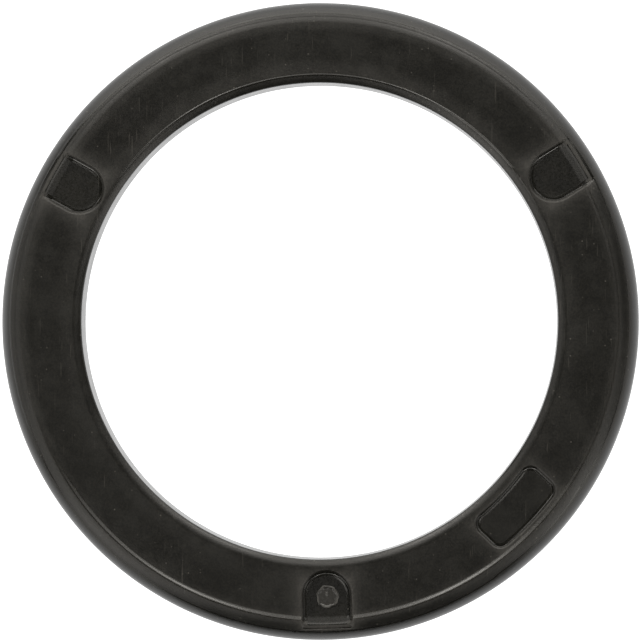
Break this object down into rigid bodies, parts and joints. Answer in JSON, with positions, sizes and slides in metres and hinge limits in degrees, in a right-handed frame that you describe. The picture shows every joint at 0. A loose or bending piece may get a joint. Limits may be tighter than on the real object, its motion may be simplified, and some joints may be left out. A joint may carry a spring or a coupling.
{
  "type": "coil spring insulator",
  "caption": "Flat moulded rubber seat ring with a rounded outer edge, a plain centre hole and shallow D-shaped windows onto an embedded stiffening ring.",
  "frame": {"origin": "centre of the back face, on the ring's axis", "axes": "+Z out of the recessed seat face along the ring's axis; the window with the round gate plug lies at -Y"},
  "size_m": [0.16, 0.16, 0.012],
  "materials": {
    "rubber": "semi-gloss moulded black rubber, faintly scuffed",
    "coated_steel": "thin black bonding coat, satin"
  },
  "bodies": {
    "root": {"rubber_jacket": "rubber", "steel_core": "coated_steel"}
  },
  "joints": []
}
